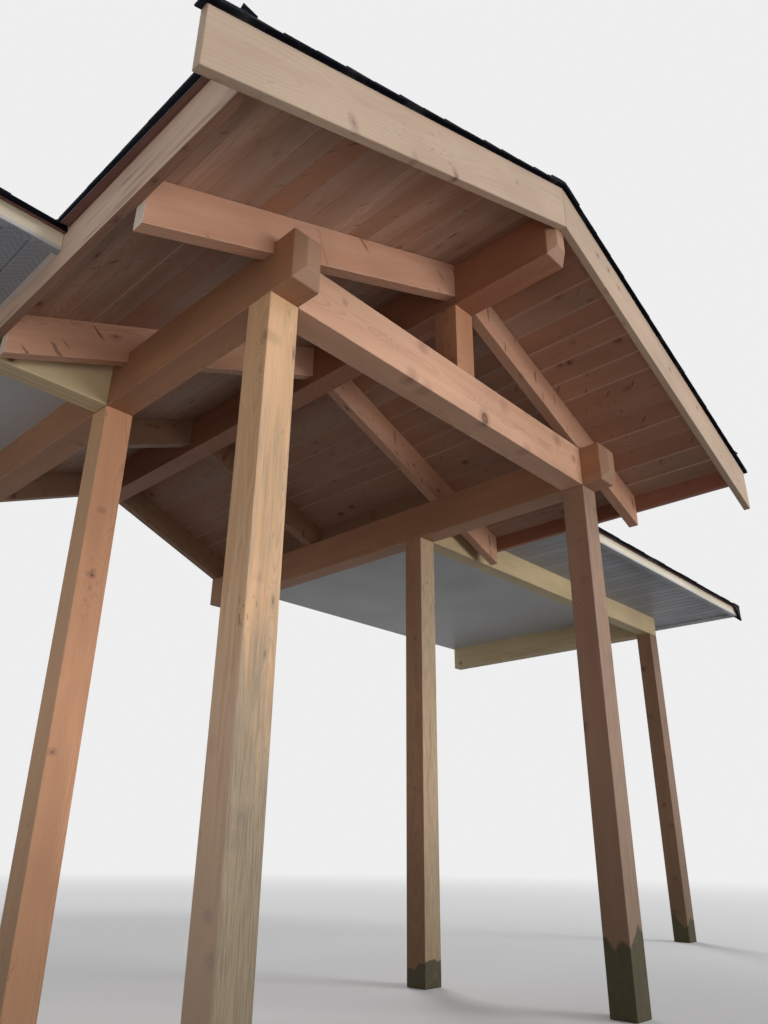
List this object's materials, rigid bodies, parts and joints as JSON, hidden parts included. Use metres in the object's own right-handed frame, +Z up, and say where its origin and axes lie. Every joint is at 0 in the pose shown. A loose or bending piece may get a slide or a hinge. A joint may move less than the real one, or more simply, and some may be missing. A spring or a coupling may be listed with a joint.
{
  "type": "porch canopy",
  "caption": "Timber porch canopy: a gabled portico on square posts with exposed rafters, flanked by two low hipped wings, leaning on a wall.",
  "frame": {"origin": "on the wall plane, at the middle of the ridge beam's back end", "axes": "+X to the right as seen from in front, +Y towards the wall, +Z up"},
  "size_m": [10.26, 4.357, 3.7434],
  "materials": {
    "post_timber": "planed",
    "beam_timber": "planed",
    "rafter_timber": "planed",
    "decking_boards": "matte",
    "roof_board": "rough",
    "trim_board": "satin",
    "wing_lumber": "planed",
    "framing_lumber": "rough",
    "ceiling_panel": "matte",
    "soffit_panel": "satin",
    "shingle": "rough"
  },
  "bodies": {
    "root": {"front_post_left": "post_timber", "front_post_right": "post_timber", "middle_post_left": "post_timber", "middle_post_right": "post_timber", "wing_post_left": "post_timber", "wing_post_right": "post_timber", "eave_beam_left": "beam_timber", "eave_beam_right": "beam_timber", "front_rafter_left": "rafter_timber", "front_rafter_right": "rafter_timber", "middle_rafter_left": "rafter_timber", "middle_rafter_right": "rafter_timber", "rear_rafter_left": "rafter_timber", "rear_rafter_right": "rafter_timber", "wall_rafter_left": "rafter_timber", "wall_rafter_right": "rafter_timber", "eave_blocks_left": "rafter_timber", "eave_blocks_right": "rafter_timber", "decking_left": "decking_boards", "decking_right": "decking_boards", "roof_panel_left": "roof_board", "roof_panel_right": "roof_board", "shingles_left": "shingle", "shingles_right": "shingle", "barge_board_left": "trim_board", "barge_board_right": "trim_board", "eave_fascia_left": "trim_board", "eave_fascia_right": "trim_board", "wing_front_beam_left": "wing_lumber", "wing_front_beam_right": "wing_lumber", "wing_end_beam_left": "wing_lumber", "wing_end_beam_right": "wing_lumber", "wing_ceiling_left": "ceiling_panel", "wing_ceiling_right": "ceiling_panel", "wing_soffit_left": "soffit_panel", "wing_soffit_right": "soffit_panel", "wing_front_fascia_left": "wing_lumber", "wing_front_fascia_right": "wing_lumber", "wing_end_fascia_left": "wing_lumber", "wing_end_fascia_right": "wing_lumber", "wing_framing_left": "framing_lumber", "wing_framing_right": "framing_lumber", "wing_roof_left": "shingle", "wing_roof_right": "shingle", "tie_beam": "beam_timber", "king_post": "beam_timber", "ridge_beam": "beam_timber", "ridge_cap": "shingle"}
  },
  "joints": []
}
